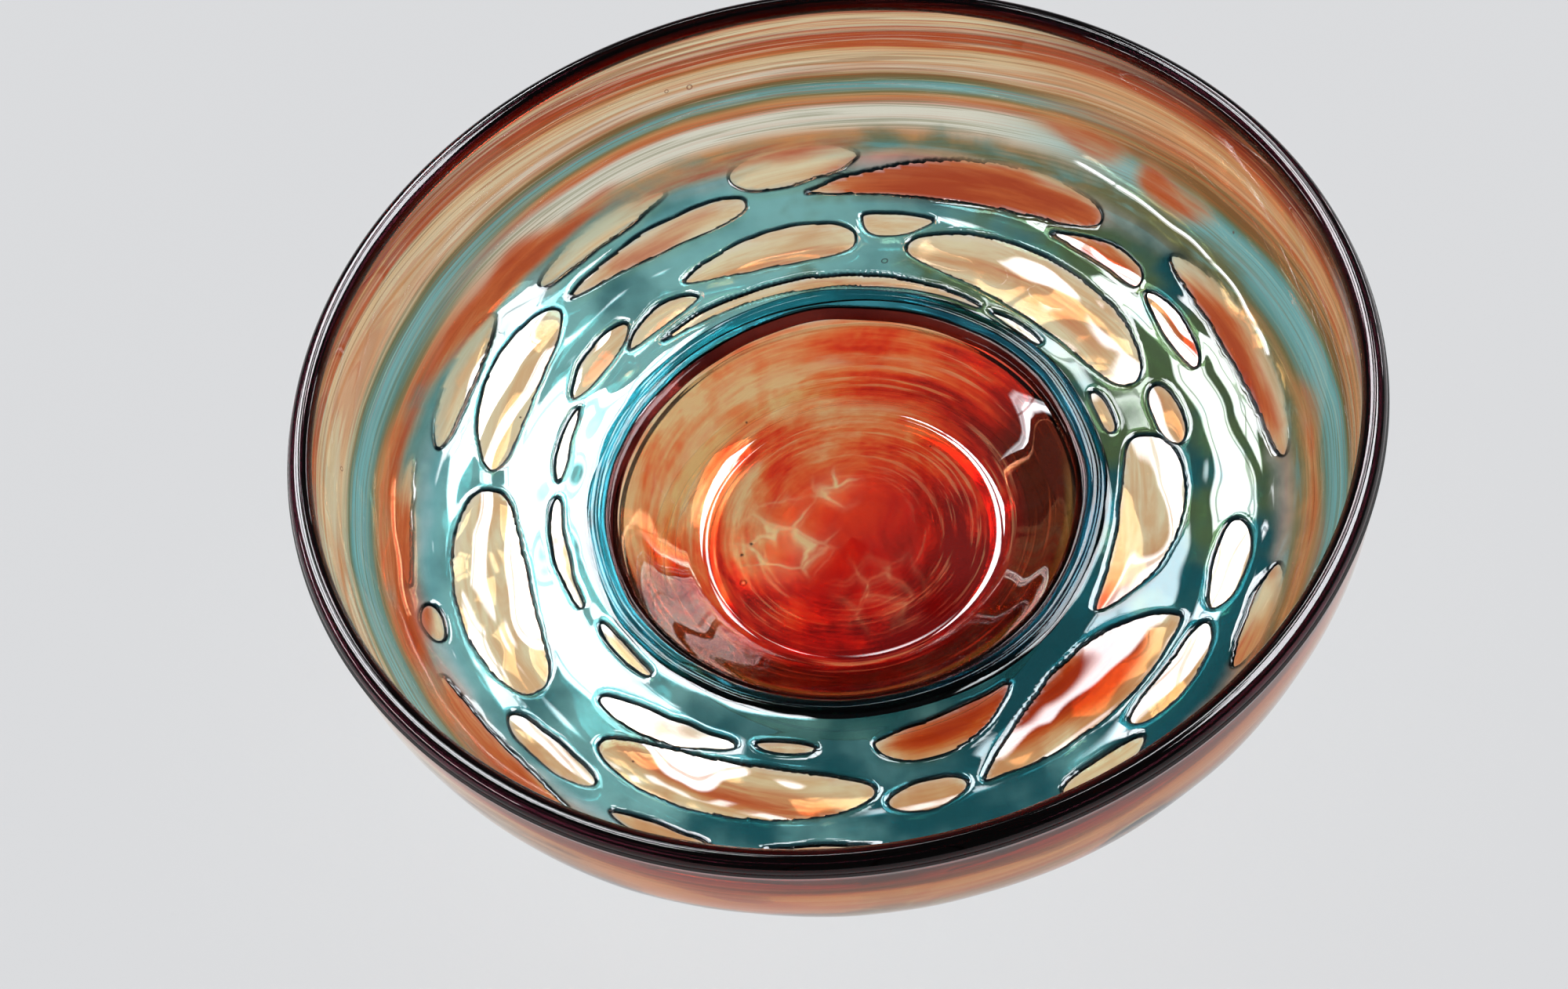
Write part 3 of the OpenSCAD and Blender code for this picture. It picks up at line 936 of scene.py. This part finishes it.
def web_material():
    nodes, at = new_material("teal_web_glass")
    cloud = nodes.noise(nodes.vector(at.x, at.y, at.z), 0.05, 3)
    # painted light and shade: the teal is painted lighter towards the far left and darker towards the near
    # side
    bright = rising_to_far_left(nodes, at, cloud, 0.9, 0.28)
    body = nodes.mix(nodes.remap(bright, -0.45, 0.45), seen(24, 80, 88), seen(120, 176, 178))
    warm = nodes.sum(nodes.times(at.cos, 0.8), nodes.times(at.sin, 0.3), nodes.spread(cloud, 1.0))
    body = nodes.mix(nodes.remap(warm, 0.45, 0.9, 0, 0.9), body, seen(74, 92, 56))
    run = nodes.attribute("run")
    outer = nodes.remap(nodes.sum(run, nodes.spread(cloud, 8)), 101, 109)
    body = nodes.mix(outer, body, seen(222, 224, 224))
    # painted shade: a dark line painted along the windows' edges, standing in for the darkening at the web's
    # steep sides
    painted_edge_shade = nodes.times(nodes.remap(nodes.attribute("edge"), 1.15, 0.6), nodes.remap(run, 109, 104))
    return glass(nodes, nodes.mix(painted_edge_shade, body, EDGE_SHADE), gloss=0.6)


def ring_material():
    nodes, at = new_material("teal_ring_glass")
    cloud = nodes.noise(nodes.vector(at.x, at.y, at.z), 0.04, 3)
    # painted light and shade: the ring is painted lighter towards the far left and darker towards the near
    # side
    bright = rising_to_far_left(nodes, at, cloud, 0.8, 0.35)
    body = nodes.mix(nodes.remap(bright, -0.4, 0.5), seen(10, 58, 74), seen(60, 136, 150))
    across = nodes.attribute("across")
    # painted shade: dark lines painted along both borders of the ring, standing in for the darkening at its
    # steep sides
    edge = nodes.highest(nodes.remap(across, 0.16, 0.06), nodes.remap(across, 0.86, 0.95))
    return glass(nodes, nodes.mix(edge, body, EDGE_SHADE), gloss=0.25)


def lip_material():
    """Near-black glass that turns maroon low on the inside; the maroon is partly painted light, for light
    shining through the bead's thin inner edge.
    """
    nodes, at = new_material("oxblood_lip_glass")
    inward, downward = nodes.minus(BOWL_R - LIP_BEAD_R, at.r), nodes.minus(LIP_Z, at.z)
    cloud = nodes.noise(nodes.vector(at.x, at.y, at.z), 0.03, 3)
    low = nodes.sum(nodes.times(inward, 0.5), downward, nodes.spread(cloud, 1.5))
    share = nodes.remap(low, -0.4, 0.8 * LIP_BEAD_R)
    return glass(nodes, nodes.mix(share, seen(44, 14, 22), seen(124, 34, 24)), gloss=0.5)


# The pad, the foot and the thread refract little, which keeps dark lines out of the well
SOFT_IOR, THREAD_IOR = 1.15, 1.2


def cloudy_glass(name, dark, light, ior):
    nodes, at = new_material(name)
    cloud = nodes.noise(nodes.vector(at.x, at.y, at.z), 0.06, 3)
    return glass(nodes, nodes.mix(nodes.remap(cloud, 0.3, 0.7), dark, light), ior=ior)


def pad_material():
    nodes, at = new_material("well_pad_glass")
    color = nodes.mix(0.85, well_color(nodes, at), seen(216, 206, 190))
    return glass(nodes, color, roughness=0.1, ior=SOFT_IOR)


# ------------------------------------------------------------------ camera, light and floor

ELEVATION, ROLL = math.radians(54.5), math.radians(-12)
CAMERA_AWAY, CAMERA_LEFT, CAMERA_DOWN = 460, 8.3, 25.7
LENS, SENSOR_WIDTH = 50.2, 36


def camera_axes():
    """The camera's right, up and back directions, for a view from -Y."""
    back = Vector((0, -math.cos(ELEVATION), math.sin(ELEVATION)))
    right = Vector((1, 0, 0))
    up = back.cross(right)
    turned_right = math.cos(ROLL) * right + math.sin(ROLL) * up
    turned_up = -math.sin(ROLL) * right + math.cos(ROLL) * up
    return turned_right, turned_up, back


def add_camera():
    right, up, back = camera_axes()
    data = bpy.data.cameras.new("camera")
    data.lens = LENS
    data.sensor_width = SENSOR_WIDTH
    data.clip_start = 0.01
    camera = bpy.data.objects.new("camera", data)
    place = Vector((0, 0, LIP_Z)) + CAMERA_AWAY * back - CAMERA_LEFT * right - CAMERA_DOWN * up
    camera.matrix_world = Matrix((right, up, back)).transposed().to_4x4()
    camera.matrix_world.translation = place * MM
    bpy.context.scene.collection.objects.link(camera)
    bpy.context.scene.camera = camera


# Bright windows of the studio: azimuth and elevation of the middle, width and height, all in
# degrees, and radiance
STUDIO_WINDOWS = [
    (104, 50, 19, 26, 36), (126.5, 55, 13, 36, 36), (20, 57, 66, 21, 36), (74, 57, 11, 13, 24),
    (67, 40, 9, 12, 24), (175, 21, 56, 3, 36), (33, 9, 22, 4, 16), (82.5, 47.5, 3, 3.4, 18),
    (88.5, 49.5, 3, 3.4, 18),
]
DOME_FOR_GLOSS = 0.10
DOME = 0.76
# Half the distance between the glazing bars, in degrees
HALF_PANE_WIDE, HALF_PANE_TALL = 7, 11


def studio_world():
    """A pale dome with soft-edged windows, which show only in reflections."""
    nodes = Nodes(bpy.data.worlds.new("studio"))
    x, y, z = nodes.split(nodes.add("ShaderNodeTexCoord").outputs["Generated"])
    azimuth = nodes.times(nodes.math("ARCTAN2", y, x), 180 / math.pi)
    elevation = nodes.times(nodes.math("ARCSINE", z), 180 / math.pi)
    light = DOME_FOR_GLOSS
    for middle, height, wide, tall, radiance in STUDIO_WINDOWS:
        across = nodes.math("PINGPONG", nodes.minus(azimuth, middle), 180)
        up = nodes.math("ABSOLUTE", nodes.minus(elevation, height))
        lit = nodes.remap(across, wide / 2 + 1, wide / 2 - 1, 0, radiance)
        light = nodes.sum(light, nodes.times(lit, nodes.remap(up, tall / 2 + 1, tall / 2 - 1)))
    for angle, half_pane in ((azimuth, HALF_PANE_WIDE), (elevation, HALF_PANE_TALL)):
        to_bar = nodes.math("PINGPONG", angle, half_pane)
        light = nodes.times(light, nodes.remap(to_bar, 0.3, 0.8, 0.35, 1))
    to_camera = nodes.add("ShaderNodeLightPath").outputs["Is Camera Ray"]
    background = nodes.tree.nodes["Background"]
    background.inputs["Color"].default_value = (0.94, 0.96, 1.0, 1)
    nodes.put(nodes.mix_numbers(to_camera, light, DOME), background.inputs["Strength"])
    return nodes.owner


FLOOR_SIDE = 12000


def floor_material():
    """A pale floor with a soft contact shade round the foot."""
    nodes, at = new_material("pale_floor")
    shader = nodes.tree.nodes["Principled BSDF"]
    shader.inputs["Base Color"].default_value = (0.02, 0.02, 0.02, 1)
    shader.inputs["Roughness"].default_value = 0.9
    shader.inputs["Specular IOR Level"].default_value = 0.0
    shader.inputs["Emission Color"].default_value = (0.97, 0.98, 1.0, 1)
    nodes.put(nodes.remap(at.r, 30, 95, 0.52, 0.65), shader.inputs["Emission Strength"])
    return nodes.owner


def add_surroundings():
    scene = bpy.context.scene
    scene.view_settings.view_transform = "Standard"
    scene.cycles.max_bounces = 32
    scene.cycles.transmission_bounces = 32
    scene.cycles.glossy_bounces = 8
    scene.world = studio_world()
    bpy.ops.mesh.primitive_plane_add(size=FLOOR_SIDE * MM)
    floor = bpy.context.object
    floor.name = "floor"
    floor.data.materials.append(floor_material())


# ------------------------------------------------------------------ assembly

WRAPS = [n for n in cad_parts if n.endswith("_wrap") and n != "lip_wrap"]


def place_piece(piece, material, slot, *nodes):
    piece.data.materials.append(material)
    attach(piece, "root")
    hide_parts(*nodes)
    piece.visible_shadow = False


add_camera()
add_surroundings()
place_piece(make_wall(), wall_material(), "clear_amber", "gather", "honey_underlay", *WRAPS)
place_piece(make_lip(), lip_material(), "oxblood", "lip_wrap")
place_piece(make_web(), web_material(), "teal", "web")
ring = make_bead("teal_ring", RING_IN_R, RING_OUT_R + 0.8, 1.3)
place_piece(ring, ring_material(), "teal", "shoulder_ring")
thread = make_bead("edge_thread_glass", RING_IN_R - 2.2, RING_IN_R + 0.6, 0.6)
thread_glass = cloudy_glass("thread_glass", seen(58, 14, 14), seen(92, 34, 28), THREAD_IOR)
place_piece(thread, thread_glass, "oxblood", "edge_thread")
place_piece(make_pad(), pad_material(), "well_red", "well_pad")
foot_glass = cloudy_glass("foot_glass", seen(214, 206, 190), seen(217, 212, 200), SOFT_IOR)
place_piece(make_foot(), foot_glass, "foot_clear", "foot")
